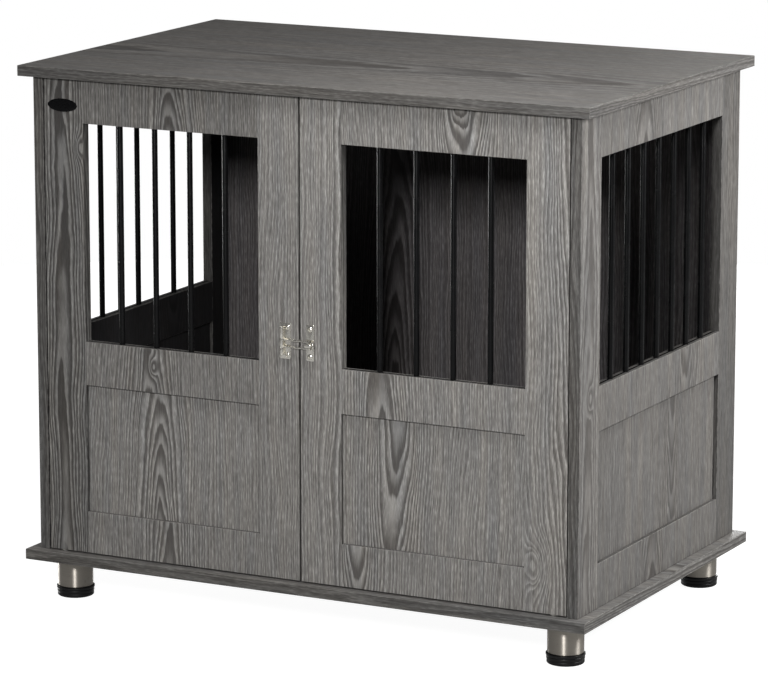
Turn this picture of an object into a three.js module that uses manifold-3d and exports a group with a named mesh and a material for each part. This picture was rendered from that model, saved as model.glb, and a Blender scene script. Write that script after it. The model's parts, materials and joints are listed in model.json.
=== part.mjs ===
// A dog crate end table: a grey wood-grain cabinet on four steel legs, with barred windows
// in its two sides and in its two front doors.
// Millimetres, +Z up. The front faces -Y and +X is to the right of someone facing it.
// The origin is on the floor, under the middle of the table.

import * as THREE from "three";
import { mergeVertices } from "three/addons/utils/BufferGeometryUtils.js";
import Module from "manifold-3d";

const wasm = await Module();
wasm.setup();

// ---- Driving dimensions ----

// Whole table
const TOP_WIDTH = 870;
const TOP_DEPTH = 558;
const TOTAL_HEIGHT = 762;
const BOARD = 15; // thickness of every board and frame
const FOOT_HEIGHT = 57; // floor to the underside of the base board

// Carcass between the two boards
const CARCASS_WIDTH = 836;
const FRONT_OVERHANG = 14;
const BACK_OVERHANG = 11;
const ARRIS = 0.6; // small chamfer on the edges of the wood
const HAIRLINE = 0.1; // gap where two parts butt together
const OVERCUT = 1; // how far a cutter runs out past the face it cuts

// Frames of the sides and the doors
const MEMBER = 62; // width of the stiles and rails
const WINDOW_HEIGHT = 307.5;
const TENON = { length: 10, thickness: 5, shoulder: 8, clearance: 0.2 };
const PANEL = { thickness: 4, recess: 6, tongue: 5.5, grooveDepth: 6, clearance: 0.15 };

// Doors
const DOOR_SIDE_GAP = 2;
const DOOR_END_GAP = 2;
const MEETING_GAP = 3;
const PIVOT_INSET = 20; // pivot axis, in from the hinge edge

// Window bars
const BAR = { radius: 4, sides: 12, endGap: 0.2 };
const BAR_STRIP = { thickness: 3, height: 8, proud: 0.4, sideGap: 0.5, clearance: 0.3 };
const SIDE_BARS = 7;
const DOOR_BARS = 4;

// Door pivots
const PIVOT_PIN = { radius: 3, inBoard: 10, inDoor: 11, collarRadius: 6, collar: 0.8 };
const BUSH = { radius: 5, bore: 3.08, length: 13, flangeRadius: 6.5, flange: 0.8 };
const FIT_GAP = 0.2; // around a piece that sits in its hole
const PIVOT_SIDES = 20;

// Legs
const LEG_INSET = 51; // leg centre, in from both edges of the base board
const TUBE = { radius: 25, wall: 1.5, topPlate: 3, bottom: 15.4 };
const NUT = { radius: 8, bore: 5.3, bottom: 34 };
const STEM = { radius: 5, top: 50 };
const SPIGOT = { radius: 23.2, top: 30 };
const PAD_TOP = 15;
// Half section of the ringed pad, from the sole up: [radius, height]
const PAD_RINGS = [
  [24.4, 0],
  [25.8, 1.2],
  [25.8, 4.8],
  [25.1, 5.6],
  [26.2, 6.4],
  [26.2, 9.6],
  [25.4, 10.4],
  [27, 11.4],
  [27, 14.2],
];
const LEG_SIDES = 36;

// Latch
const LATCH_HEIGHT = 409.5; // middle of the latch plates
const LATCH_PLATE = { width: 17, height: 50, thickness: 1.6, corner: 2 };
const LATCH_PLATE_X = -22;
const KEEPER_PLATE = { width: 12, height: 50, thickness: 1.6, corner: 2 };
const CORNER_SEGMENTS = 4;
const KEEPER_X = 16.5;
const SCREW = { headRadius: 4, head: 2.2, shankRadius: 1.75, shank: 12, hole: 2, spacing: 38 };
const SCREW_RINGS = 12; // of the round head, front to back
const SCREW_CROSS = { length: 4.4, width: 1, depth: 1.1 };
const LATCH_SCREW_X = -18;
const BARREL = { x: -25.5, radius: 2.7, bore: 1.35, standOff: 3.2, web: 1.9, endInset: 6 };
const BARREL_SIDES = 16;
const LOOP = { wire: 1.3, spacing: 9.6, start: 0.5, reach: 50, lip: 4.5, lipRise: 3 };
const LOOP_FACETS = { sides: 8, steps: 36, turn: 8 };
const LOOP_HEIGHT = 406.8; // middle between the loop's two wires
const LOOP_KNUCKLE = 13; // height of the loop's part of the barrel
const KNUCKLE_GAP = 0.3;
const PIN = { radius: 1.25, headRadius: 2, head: 0.8 };
const POST = { radius: 2.9, bore: 1.58, length: 4.4 };
const KNOB = { width: 10.8, height: 6.2, thickness: 3, corner: 3.09 };
const KNOB_SHAFT = { radius: 1.5, gap: 0.9 };

// Door catches
const CATCH = { width: 40, depth: 12, height: 14, fromMiddle: 32 };
const STRIKE = { width: 30, height: 11, thickness: 1, gap: 0.3, fromDoorTop: 1 };

// ---- Worked out from them ----

const TOP_UNDERSIDE = TOTAL_HEIGHT - BOARD;
const BASE_TOP = FOOT_HEIGHT + BOARD;
const CARCASS_HEIGHT = TOP_UNDERSIDE - BASE_TOP;
const FRONT_Y = -TOP_DEPTH / 2 + FRONT_OVERHANG;
const BACK_Y = TOP_DEPTH / 2 - BACK_OVERHANG;
const CARCASS_DEPTH = BACK_Y - FRONT_Y;
const INNER_X = CARCASS_WIDTH / 2 - BOARD;
const PANEL_OPENING = CARCASS_HEIGHT - WINDOW_HEIGHT - 3 * MEMBER;
const DOOR_WIDTH = INNER_X - DOOR_SIDE_GAP - MEETING_GAP / 2;
const DOOR_BACK_Y = FRONT_Y + BOARD;
const PIVOT_X = INNER_X - DOOR_SIDE_GAP - PIVOT_INSET;
const PIVOT_Y = FRONT_Y + BOARD / 2;

// ---- Materials ----

const finish = (color, roughness, metalness) =>
  new THREE.MeshStandardMaterial({ color, roughness, metalness });

const DOOR_WOOD = finish(0x85837f, 0.6, 0);
const SIDE_WOOD = finish(0x7b7773, 0.6, 0);
const TOP_WOOD = finish(0x6d6967, 0.5, 0);
const BACK_WOOD = finish(0x706d6a, 0.65, 0);
const BLACK_STEEL = finish(0x0d0d0e, 0.35, 0.2);
const BRUSHED_STEEL = finish(0xb9b3ab, 0.32, 1);
const BLACK_PLASTIC = finish(0x0b0b0c, 0.45, 0);
const NICKEL = finish(0xd6d4cc, 0.18, 1);
const PLAIN_STEEL = finish(0x9a9a98, 0.4, 1);
const NYLON = finish(0xd9d6cc, 0.55, 0);

// ---- Solids ----

const SAME_POINT = 1e-4; // corners this close are one corner

// A closed three.js geometry as a solid that can be cut and joined
function solidOf(geometry) {
  const bare = new THREE.BufferGeometry();
  const loose = geometry.index ? geometry.toNonIndexed() : geometry;
  bare.setAttribute("position", loose.getAttribute("position"));
  const merged = mergeVertices(bare, SAME_POINT);
  return new wasm.Manifold(
    new wasm.Mesh({
      numProp: 3,
      vertProperties: merged.getAttribute("position").array,
      triVerts: new Uint32Array(merged.index.array),
    }),
  );
}

function geometryOf(solid) {
  const { vertProperties, triVerts } = solid.getMesh();
  const geometry = new THREE.BufferGeometry();
  geometry.setAttribute("position", new THREE.BufferAttribute(vertProperties, 3));
  geometry.setIndex(new THREE.BufferAttribute(triVerts, 1));
  return geometry;
}

function piece(name, solid, material) {
  const mesh = new THREE.Mesh(geometryOf(solid), material);
  mesh.name = name;
  return mesh;
}

// A plain block between two values on each axis
function block([x0, x1], [y0, y1], [z0, z1]) {
  const box = new THREE.BoxGeometry(x1 - x0, y1 - y0, z1 - z0);
  box.translate((x0 + x1) / 2, (y0 + y1) / 2, (z0 + z1) / 2);
  return solidOf(box);
}

// A piece of wood: a block whose twelve edges are lightly chamfered
function plank([x0, x1], [y0, y1], [z0, z1]) {
  const outline = new THREE.Shape([
    new THREE.Vector2(x0 + ARRIS, y0 + ARRIS),
    new THREE.Vector2(x1 - ARRIS, y0 + ARRIS),
    new THREE.Vector2(x1 - ARRIS, y1 - ARRIS),
    new THREE.Vector2(x0 + ARRIS, y1 - ARRIS),
  ]);
  const box = new THREE.ExtrudeGeometry(outline, {
    depth: z1 - z0 - 2 * ARRIS,
    bevelThickness: ARRIS,
    bevelSize: ARRIS,
    bevelSegments: 1,
  });
  box.translate(0, 0, z0 + ARRIS);
  return solidOf(box);
}

// A round bar standing along Z from z0 to z1
function rod(radius, [x, y], [z0, z1], sides) {
  const bar = new THREE.CylinderGeometry(radius, radius, z1 - z0, sides);
  bar.rotateX(Math.PI / 2);
  bar.translate(x, y, (z0 + z1) / 2);
  return solidOf(bar);
}

// A round bar lying along Y from y0 (nearer the front) to y1
function rodAlongY(radius, [x, z], [y0, y1], sides) {
  const bar = new THREE.CylinderGeometry(radius, radius, y1 - y0, sides);
  bar.translate(x, (y0 + y1) / 2, z);
  return solidOf(bar);
}

// A turned piece: a closed half section of [radius, height] points, spun about Z
function turned(section, [x, y], sides) {
  const points = section.map(([r, z]) => new THREE.Vector2(r, z));
  const lathe = new THREE.LatheGeometry(points, sides);
  lathe.rotateX(Math.PI / 2);
  lathe.translate(x, y, 0);
  return solidOf(lathe);
}

// A plate on a front face: a rounded rectangle in X and Z, from yBack forward by its thickness
function facePlate({ width, height, thickness, corner }, [x, z], yBack) {
  const half = [width / 2 - corner, height / 2 - corner];
  const outline = new THREE.Shape();
  outline.absarc(half[0], half[1], corner, 0, Math.PI / 2);
  outline.absarc(-half[0], half[1], corner, Math.PI / 2, Math.PI);
  outline.absarc(-half[0], -half[1], corner, Math.PI, 1.5 * Math.PI);
  outline.absarc(half[0], -half[1], corner, 1.5 * Math.PI, 2 * Math.PI);
  const plate = new THREE.ExtrudeGeometry(outline, {
    depth: thickness,
    bevelEnabled: false,
    curveSegments: CORNER_SEGMENTS,
  });
  plate.rotateX(Math.PI / 2);
  plate.translate(x, yBack, z);
  return solidOf(plate);
}

// ---- Framed side or door ----
// Its own coordinates: x across, z up, and y from 0 at the outside face to BOARD at the inside.

// Heights of the rails' edges; a door's end rails are narrower by its gap at top and bottom
function frameLevels(endGap) {
  const bottomRail = MEMBER - endGap;
  const middleRail = bottomRail + PANEL_OPENING;
  const window = middleRail + MEMBER;
  const topRail = window + WINDOW_HEIGHT;
  return { bottomRail, middleRail, window, topRail, top: topRail + MEMBER - endGap };
}

const TENON_Y = [(BOARD - TENON.thickness) / 2, (BOARD + TENON.thickness) / 2];
const PANEL_Y = [PANEL.recess, PANEL.recess + PANEL.thickness];
const STRIP_Y = [(BOARD - BAR_STRIP.thickness) / 2, (BOARD + BAR_STRIP.thickness) / 2];

const widen = ([a, b], by) => [a - by, b + by];
const about = (middle, half) => [middle - half, middle + half];

// The three rails of a frame, as spans in z
const railSpans = (levels) => ({
  bottom: [0, levels.bottomRail],
  middle: [levels.middleRail, levels.window],
  top: [levels.topRail, levels.top],
});

// An upright: mortised for the rails' tenons and grooved for the lower panel
function stile(width, levels, atFarSide) {
  const across = ([a, b]) => (atFarSide ? [width - b, width - a] : [a, b]);
  let solid = plank(across([0, MEMBER]), [0, BOARD], [0, levels.top]);
  for (const span of Object.values(railSpans(levels))) {
    const mortise = block(
      across([MEMBER - TENON.length - TENON.clearance, MEMBER + OVERCUT]),
      widen(TENON_Y, TENON.clearance),
      widen(span, TENON.clearance - TENON.shoulder),
    );
    solid = solid.subtract(mortise);
  }
  const groove = block(
    across([MEMBER - PANEL.grooveDepth, MEMBER + OVERCUT]),
    widen(PANEL_Y, PANEL.clearance),
    widen([levels.bottomRail, levels.middleRail], PANEL.grooveDepth),
  );
  return solid.subtract(groove);
}

// A cross piece with a tenon at each end
function rail(width, span) {
  const across = [MEMBER + HAIRLINE, width - MEMBER - HAIRLINE];
  const tenons = block(
    [MEMBER - TENON.length, width - MEMBER + TENON.length],
    TENON_Y,
    widen(span, -TENON.shoulder),
  );
  return plank(across, [0, BOARD], span).add(tenons);
}

// The span in z of a groove cut into a rail's edge at height z, up or down into the wood
const grooveSpan = (z, depth, goesUp) =>
  goesUp ? [z - OVERCUT, z + depth] : [z - depth, z + OVERCUT];

function panelGroove(width, z, goesUp) {
  const span = grooveSpan(z, PANEL.grooveDepth, goesUp);
  return block([0, width], widen(PANEL_Y, PANEL.clearance), span);
}

function stripGroove(width, z, goesUp) {
  const span = grooveSpan(z, BAR_STRIP.height + BAR_STRIP.clearance, goesUp);
  return block([0, width], widen(STRIP_Y, BAR_STRIP.clearance), span);
}

// The thin board that floats in the grooves below the middle rail
function lowerPanel(width, levels) {
  return block(
    widen([MEMBER, width - MEMBER], PANEL.tongue),
    PANEL_Y,
    widen([levels.bottomRail, levels.middleRail], PANEL.tongue),
  );
}

// Upright bars across the window, tied top and bottom by a strip on edge in the rails' grooves
function windowBars(width, levels, count) {
  const opening = width - 2 * MEMBER;
  const across = widen([MEMBER, width - MEMBER], -BAR_STRIP.sideGap);
  const low = levels.window + BAR_STRIP.proud;
  const high = levels.topRail - BAR_STRIP.proud;
  let solid = block(across, STRIP_Y, [low - BAR_STRIP.height, low]);
  solid = solid.add(block(across, STRIP_Y, [high, high + BAR_STRIP.height]));
  for (let i = 1; i <= count; i++) {
    const x = MEMBER + (opening * i) / (count + 1);
    const span = [levels.window + BAR.endGap, levels.topRail - BAR.endGap];
    solid = solid.add(rod(BAR.radius, [x, BOARD / 2], span, BAR.sides));
  }
  return solid;
}

// A whole frame; stileNames are those of the stiles at x = 0 and at x = width
function framedPanel({ name, width, endGap, bars, stileNames, material, bore }) {
  const levels = frameLevels(endGap);
  const spans = railSpans(levels);
  const group = new THREE.Group();
  stileNames.forEach((stileName, i) => {
    let upright = stile(width, levels, i === 1);
    if (bore) upright = bore(upright, stileName, levels);
    group.add(piece(`${name}_${stileName}`, upright, material));
  });
  const top = rail(width, spans.top).subtract(stripGroove(width, levels.topRail, true));
  const middle = rail(width, spans.middle)
    .subtract(stripGroove(width, levels.window, false))
    .subtract(panelGroove(width, levels.middleRail, true));
  const bottom = rail(width, spans.bottom).subtract(panelGroove(width, levels.bottomRail, false));
  group.add(piece(`${name}_top_rail`, top, material));
  group.add(piece(`${name}_middle_rail`, middle, material));
  group.add(piece(`${name}_bottom_rail`, bottom, material));
  group.add(piece(`${name}_lower_panel`, lowerPanel(width, levels), material));
  group.add(piece(`${name}_window_bars`, windowBars(width, levels, bars), BLACK_STEEL));
  return group;
}

// ---- Boards ----

// Holes for the doors' pivot pins, in the face of a board that is turned to the doors
function pivotHoles(span) {
  const radius = PIVOT_PIN.radius + FIT_GAP;
  const left = rod(radius, [-PIVOT_X, PIVOT_Y], span, PIVOT_SIDES);
  return left.add(rod(radius, [PIVOT_X, PIVOT_Y], span, PIVOT_SIDES));
}

function overhangingBoard(name, z0, holeSpan) {
  const across = [-TOP_WIDTH / 2, TOP_WIDTH / 2];
  const deep = [-TOP_DEPTH / 2, TOP_DEPTH / 2];
  const board = plank(across, deep, [z0, z0 + BOARD]);
  return piece(name, board.subtract(pivotHoles(holeSpan)), TOP_WOOD);
}

function boards() {
  const depth = PIVOT_PIN.inBoard + FIT_GAP;
  const topHoles = [TOP_UNDERSIDE - OVERCUT, TOP_UNDERSIDE + depth];
  const baseHoles = [BASE_TOP - depth, BASE_TOP + OVERCUT];
  return new THREE.Group().add(
    overhangingBoard("top_board", TOP_UNDERSIDE, topHoles),
    overhangingBoard("base_board", FOOT_HEIGHT, baseHoles),
    backPanel(),
  );
}

function backPanel() {
  const board = plank(
    widen([-INNER_X, INNER_X], -HAIRLINE),
    [BACK_Y - BOARD, BACK_Y],
    [BASE_TOP, TOP_UNDERSIDE],
  );
  return piece("back_panel", board, BACK_WOOD);
}

// ---- Side frames ----

function sideFrame(isRight) {
  const group = framedPanel({
    name: isRight ? "right_side" : "left_side",
    width: CARCASS_DEPTH,
    endGap: 0,
    bars: SIDE_BARS,
    stileNames: isRight ? ["front_stile", "rear_stile"] : ["rear_stile", "front_stile"],
    material: SIDE_WOOD,
  });
  group.rotation.z = isRight ? Math.PI / 2 : -Math.PI / 2;
  const sign = isRight ? 1 : -1;
  group.position.set((sign * CARCASS_WIDTH) / 2, isRight ? FRONT_Y : BACK_Y, BASE_TOP);
  return group;
}

// ---- Doors ----

// Holes in the two ends of the hinge stile for the pivot bushes
function boreForBushes(upright, x, levels) {
  const depth = BUSH.length + FIT_GAP;
  const radius = BUSH.radius + FIT_GAP;
  const axis = [x, BOARD / 2];
  const low = rod(radius, axis, [-OVERCUT, depth], PIVOT_SIDES);
  const high = rod(radius, axis, [levels.top - depth, levels.top + OVERCUT], PIVOT_SIDES);
  return upright.subtract(low).subtract(high);
}

const SCREW_HEIGHTS = [LATCH_HEIGHT - SCREW.spacing / 2, LATCH_HEIGHT + SCREW.spacing / 2];

// Pilot holes in the meeting stile for the two screws of a latch plate
function boreForScrews(upright, x) {
  let bored = upright;
  for (const z of SCREW_HEIGHTS) {
    const axis = [x, z - BASE_TOP - DOOR_END_GAP];
    bored = bored.subtract(rodAlongY(SCREW.hole, axis, [-OVERCUT, SCREW.shank], BARREL_SIDES));
  }
  return bored;
}

function door(isRight) {
  const x0 = isRight ? MEETING_GAP / 2 : -MEETING_GAP / 2 - DOOR_WIDTH;
  const pivot = (isRight ? PIVOT_X : -PIVOT_X) - x0;
  const screwX = (isRight ? KEEPER_X : LATCH_SCREW_X) - x0;
  const group = framedPanel({
    name: isRight ? "right_door" : "left_door",
    width: DOOR_WIDTH,
    endGap: DOOR_END_GAP,
    bars: DOOR_BARS,
    stileNames: isRight ? ["meeting_stile", "hinge_stile"] : ["hinge_stile", "meeting_stile"],
    material: DOOR_WOOD,
    bore: (upright, stileName, levels) =>
      stileName === "hinge_stile"
        ? boreForBushes(upright, pivot, levels)
        : boreForScrews(upright, screwX),
  });
  group.position.set(x0, FRONT_Y, BASE_TOP + DOOR_END_GAP);
  return group;
}

// ---- Door pivots ----

// A steel pin that stands in a board, with a collar that fills part of the door's end gap.
// up is +1 for a pin that stands in the base board and -1 for one that hangs from the top board.
function pivotPin(name, x, face, up) {
  const at = (height) => face + up * height;
  const section = [
    [0, at(-PIVOT_PIN.inBoard)],
    [PIVOT_PIN.radius, at(-PIVOT_PIN.inBoard)],
    [PIVOT_PIN.radius, at(HAIRLINE)],
    [PIVOT_PIN.collarRadius, at(HAIRLINE)],
    [PIVOT_PIN.collarRadius, at(PIVOT_PIN.collar)],
    [PIVOT_PIN.radius, at(PIVOT_PIN.collar)],
    [PIVOT_PIN.radius, at(PIVOT_PIN.inDoor)],
    [0, at(PIVOT_PIN.inDoor)],
  ];
  if (up < 0) section.reverse();
  return piece(name, turned(section, [x, PIVOT_Y], PIVOT_SIDES), PLAIN_STEEL);
}

// A flanged nylon bush in the end of the hinge stile
function pivotBush(name, x, doorEnd, up) {
  const at = (height) => doorEnd + up * height;
  const section = [
    [BUSH.bore, at(-BUSH.flange)],
    [BUSH.flangeRadius, at(-BUSH.flange)],
    [BUSH.flangeRadius, at(-HAIRLINE)],
    [BUSH.radius, at(-HAIRLINE)],
    [BUSH.radius, at(BUSH.length)],
    [BUSH.bore, at(BUSH.length)],
    [BUSH.bore, at(-BUSH.flange)],
  ];
  if (up < 0) section.reverse();
  return piece(name, turned(section, [x, PIVOT_Y], PIVOT_SIDES), NYLON);
}

function doorPivots() {
  const group = new THREE.Group();
  for (const [side, x] of [["left", -PIVOT_X], ["right", PIVOT_X]]) {
    group.add(pivotPin(`${side}_door_bottom_pivot_pin`, x, BASE_TOP, 1));
    group.add(pivotPin(`${side}_door_top_pivot_pin`, x, TOP_UNDERSIDE, -1));
    group.add(pivotBush(`${side}_door_bottom_bush`, x, BASE_TOP + DOOR_END_GAP, 1));
    group.add(pivotBush(`${side}_door_top_bush`, x, TOP_UNDERSIDE - DOOR_END_GAP, -1));
  }
  return group;
}

// ---- Legs ----

// A steel tube closed at the top, with a nut inside for the foot's threaded stem
function legTube(name, x, y) {
  const inner = TUBE.radius - TUBE.wall;
  const plate = FOOT_HEIGHT - TUBE.topPlate;
  const section = [
    [0, plate],
    [NUT.bore, plate],
    [NUT.bore, NUT.bottom],
    [NUT.radius, NUT.bottom],
    [NUT.radius, plate],
    [inner, plate],
    [inner, TUBE.bottom],
    [TUBE.radius, TUBE.bottom],
    [TUBE.radius, FOOT_HEIGHT],
    [0, FOOT_HEIGHT],
  ];
  return piece(name, turned(section, [x, y], LEG_SIDES), BRUSHED_STEEL);
}

// The black foot: a ringed pad, a spigot that guides it in the tube, and its threaded stem
function levellingFoot(name, x, y) {
  const section = [
    [0, 0],
    ...PAD_RINGS,
    [SPIGOT.radius, PAD_TOP],
    [SPIGOT.radius, SPIGOT.top],
    [STEM.radius, SPIGOT.top],
    [STEM.radius, STEM.top],
    [0, STEM.top],
  ];
  return piece(name, turned(section, [x, y], LEG_SIDES), BLACK_PLASTIC);
}

function legs() {
  const group = new THREE.Group();
  for (const [depthName, ySign] of [["front", -1], ["rear", 1]]) {
    for (const [sideName, xSign] of [["left", -1], ["right", 1]]) {
      const x = xSign * (TOP_WIDTH / 2 - LEG_INSET);
      const y = ySign * (TOP_DEPTH / 2 - LEG_INSET);
      group.add(legTube(`${depthName}_${sideName}_leg_tube`, x, y));
      group.add(levellingFoot(`${depthName}_${sideName}_foot`, x, y));
    }
  }
  return group;
}

// ---- Latch ----

const PLATE_FACE = FRONT_Y - LATCH_PLATE.thickness;
const BARREL_Y = FRONT_Y - LATCH_PLATE.thickness - BARREL.standOff;
const LOOP_SPAN = [LOOP_HEIGHT - LOOP_KNUCKLE / 2, LOOP_HEIGHT + LOOP_KNUCKLE / 2];
const BARREL_SPAN = [
  LATCH_HEIGHT - LATCH_PLATE.height / 2 + BARREL.endInset,
  LATCH_HEIGHT + LATCH_PLATE.height / 2 - BARREL.endInset,
];

// A plate on the doors' front face, with its two screw holes
function drilledPlate(size, x, screwX) {
  let solid = facePlate(size, [x, LATCH_HEIGHT], FRONT_Y);
  for (const z of SCREW_HEIGHTS) {
    const span = [PLATE_FACE - OVERCUT, FRONT_Y + OVERCUT];
    solid = solid.subtract(rodAlongY(SCREW.hole, [screwX, z], span, BARREL_SIDES));
  }
  return solid;
}

// One knuckle of the barrel: a tube about the latch's hinge pin
function knuckle(span) {
  const centre = [BARREL.x, BARREL_Y];
  const outside = rod(BARREL.radius, centre, span, BARREL_SIDES);
  return outside.subtract(rod(BARREL.bore, centre, widen(span, OVERCUT), BARREL_SIDES));
}

// The left door's plate, with the outer two knuckles on short webs
function latchPlate() {
  let solid = drilledPlate(LATCH_PLATE, LATCH_PLATE_X, LATCH_SCREW_X);
  const spans = [
    [BARREL_SPAN[0], LOOP_SPAN[0] - KNUCKLE_GAP],
    [LOOP_SPAN[1] + KNUCKLE_GAP, BARREL_SPAN[1]],
  ];
  for (const span of spans) {
    const bore = rod(BARREL.bore, [BARREL.x, BARREL_Y], widen(span, OVERCUT), BARREL_SIDES);
    const web = block(about(BARREL.x, BARREL.web), [BARREL_Y, PLATE_FACE], span);
    solid = solid.add(web.subtract(bore)).add(knuckle(span));
  }
  return piece("latch_plate", solid, NICKEL);
}

function latchHingePin() {
  const centre = [BARREL.x, BARREL_Y];
  const [low, high] = widen(BARREL_SPAN, FIT_GAP);
  let solid = rod(PIN.radius, centre, widen(BARREL_SPAN, PIN.head), BARREL_SIDES);
  solid = solid.add(rod(PIN.headRadius, centre, [low - PIN.head, low], BARREL_SIDES));
  solid = solid.add(rod(PIN.headRadius, centre, [high, high + PIN.head], BARREL_SIDES));
  return piece("latch_hinge_pin", solid, NICKEL);
}

// Middle line of the loop's wire: out along the upper wire, round the end, and back;
// the end is bent away from the doors as a finger grip
function loopPath() {
  const half = LOOP.spacing / 2;
  const straight = LOOP.reach - LOOP.lip;
  const lift = (x) => LOOP.lipRise * Math.max(0, (x - straight) / LOOP.lip);
  const at = (x, z) => new THREE.Vector3(BARREL.x + x, BARREL_Y - lift(x), LOOP_HEIGHT + z);
  const turn = Array.from({ length: LOOP_FACETS.turn + 1 }, (_, i) => {
    const angle = (Math.PI * i) / LOOP_FACETS.turn;
    return at(LOOP.reach - half + half * Math.sin(angle), half * Math.cos(angle));
  });
  const along = [LOOP.start, straight / 3, (2 * straight) / 3, straight - half];
  const upper = along.map((x) => at(x, half));
  const lower = along.map((x) => at(x, -half)).reverse();
  return new THREE.CatmullRomCurve3([...upper, ...turn, ...lower], false, "centripetal");
}

// A round wire bent along the loop's middle line
function loopWire() {
  const { sides, steps } = LOOP_FACETS;
  const ring = Array.from({ length: sides }, (_, i) => {
    const angle = (2 * Math.PI * i) / sides;
    return new THREE.Vector2(LOOP.wire * Math.cos(angle), LOOP.wire * Math.sin(angle));
  });
  const wire = new THREE.ExtrudeGeometry(new THREE.Shape(ring), {
    steps,
    extrudePath: loopPath(),
    bevelEnabled: false,
  });
  return solidOf(wire);
}

function latchLoop() {
  const centre = [BARREL.x, BARREL_Y];
  const bore = rod(BARREL.bore, centre, widen(LOOP_SPAN, OVERCUT), BARREL_SIDES);
  return piece("latch_loop", loopWire().add(knuckle(LOOP_SPAN)).subtract(bore), NICKEL);
}

// The right door's plate, with a hollow post that the loop drops over
function latchKeeper() {
  const plate = drilledPlate(KEEPER_PLATE, KEEPER_X, KEEPER_X);
  const axis = [KEEPER_X, LOOP_HEIGHT];
  const tip = PLATE_FACE - POST.length;
  const post = rodAlongY(POST.radius, axis, [tip, (PLATE_FACE + FRONT_Y) / 2], BARREL_SIDES);
  const bore = rodAlongY(POST.bore, axis, widen([tip, FRONT_Y], OVERCUT), BARREL_SIDES);
  return piece("latch_keeper", plate.add(post).subtract(bore), NICKEL);
}

// The turn knob: an oblong head on a shaft. Level, as it lies here, it lets the loop slip off;
// turned upright it holds the loop on.
function latchKnob() {
  const axis = [KEEPER_X, LOOP_HEIGHT];
  const back = PLATE_FACE - POST.length - KNOB_SHAFT.gap;
  const head = facePlate(KNOB, axis, back);
  const span = [back - KNOB.thickness / 2, FRONT_Y - HAIRLINE];
  const shaft = rodAlongY(KNOB_SHAFT.radius, axis, span, BARREL_SIDES);
  return piece("latch_knob", head.add(shaft), NICKEL);
}

// A pan-head screw with a cross recess, driven towards +Y
function latchScrew(name, x, z) {
  const dome = new THREE.SphereGeometry(SCREW.headRadius, BARREL_SIDES, SCREW_RINGS);
  const seat = PLATE_FACE - HAIRLINE;
  const flatten = SCREW.head / SCREW.headRadius;
  dome.rotateX(Math.PI / 2);
  dome.scale(1, flatten, 1);
  dome.translate(x, seat, z);
  const half = SCREW.headRadius + OVERCUT;
  const front = block(about(x, half), [seat - half, seat], about(z, half));
  const shankSpan = [seat - SCREW_CROSS.depth / 2, seat + SCREW.shank];
  const shank = rodAlongY(SCREW.shankRadius, [x, z], shankSpan, BARREL_SIDES);
  const crown = seat - SCREW.head;
  const cut = [crown - OVERCUT, crown + SCREW_CROSS.depth];
  const arm = SCREW_CROSS.length / 2;
  const slim = SCREW_CROSS.width / 2;
  const level = block(about(x, arm), cut, about(z, slim));
  const upright = block(about(x, slim), cut, about(z, arm));
  const head = solidOf(dome).intersect(front).subtract(level).subtract(upright);
  return piece(name, head.add(shank), NICKEL);
}

function latch() {
  const group = new THREE.Group();
  group.add(latchPlate(), latchHingePin(), latchLoop(), latchKeeper(), latchKnob());
  const [low, high] = SCREW_HEIGHTS;
  group.add(latchScrew("latch_plate_lower_screw", LATCH_SCREW_X, low));
  group.add(latchScrew("latch_plate_upper_screw", LATCH_SCREW_X, high));
  group.add(latchScrew("latch_keeper_lower_screw", KEEPER_X, low));
  group.add(latchScrew("latch_keeper_upper_screw", KEEPER_X, high));
  return group;
}

// ---- Door catches ----

// A magnetic catch under the top board, and the strike plate it holds on the door's back
function doorCatches() {
  const group = new THREE.Group();
  for (const [side, sign] of [["left", -1], ["right", 1]]) {
    const middle = sign * CATCH.fromMiddle;
    const strikeY = DOOR_BACK_Y + STRIKE.thickness;
    const catchY = strikeY + STRIKE.gap;
    const top = TOP_UNDERSIDE - HAIRLINE;
    const housing = block(
      about(middle, CATCH.width / 2),
      [catchY, catchY + CATCH.depth],
      [top - CATCH.height, top],
    );
    const strikeTop = TOP_UNDERSIDE - DOOR_END_GAP - STRIKE.fromDoorTop;
    const strike = block(
      about(middle, STRIKE.width / 2),
      [DOOR_BACK_Y + HAIRLINE, strikeY],
      [strikeTop - STRIKE.height, strikeTop],
    );
    group.add(piece(`${side}_door_catch`, housing, BLACK_PLASTIC));
    group.add(piece(`${side}_door_strike_plate`, strike, PLAIN_STEEL));
  }
  return group;
}

// ---- The table ----

const table = new THREE.Group();
table.add(boards());
table.add(sideFrame(false), sideFrame(true));
table.add(door(false), door(true));
table.add(doorPivots());
table.add(legs());
table.add(latch());
table.add(doorCatches());

export default table;
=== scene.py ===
import json
import math
from collections import namedtuple

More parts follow.
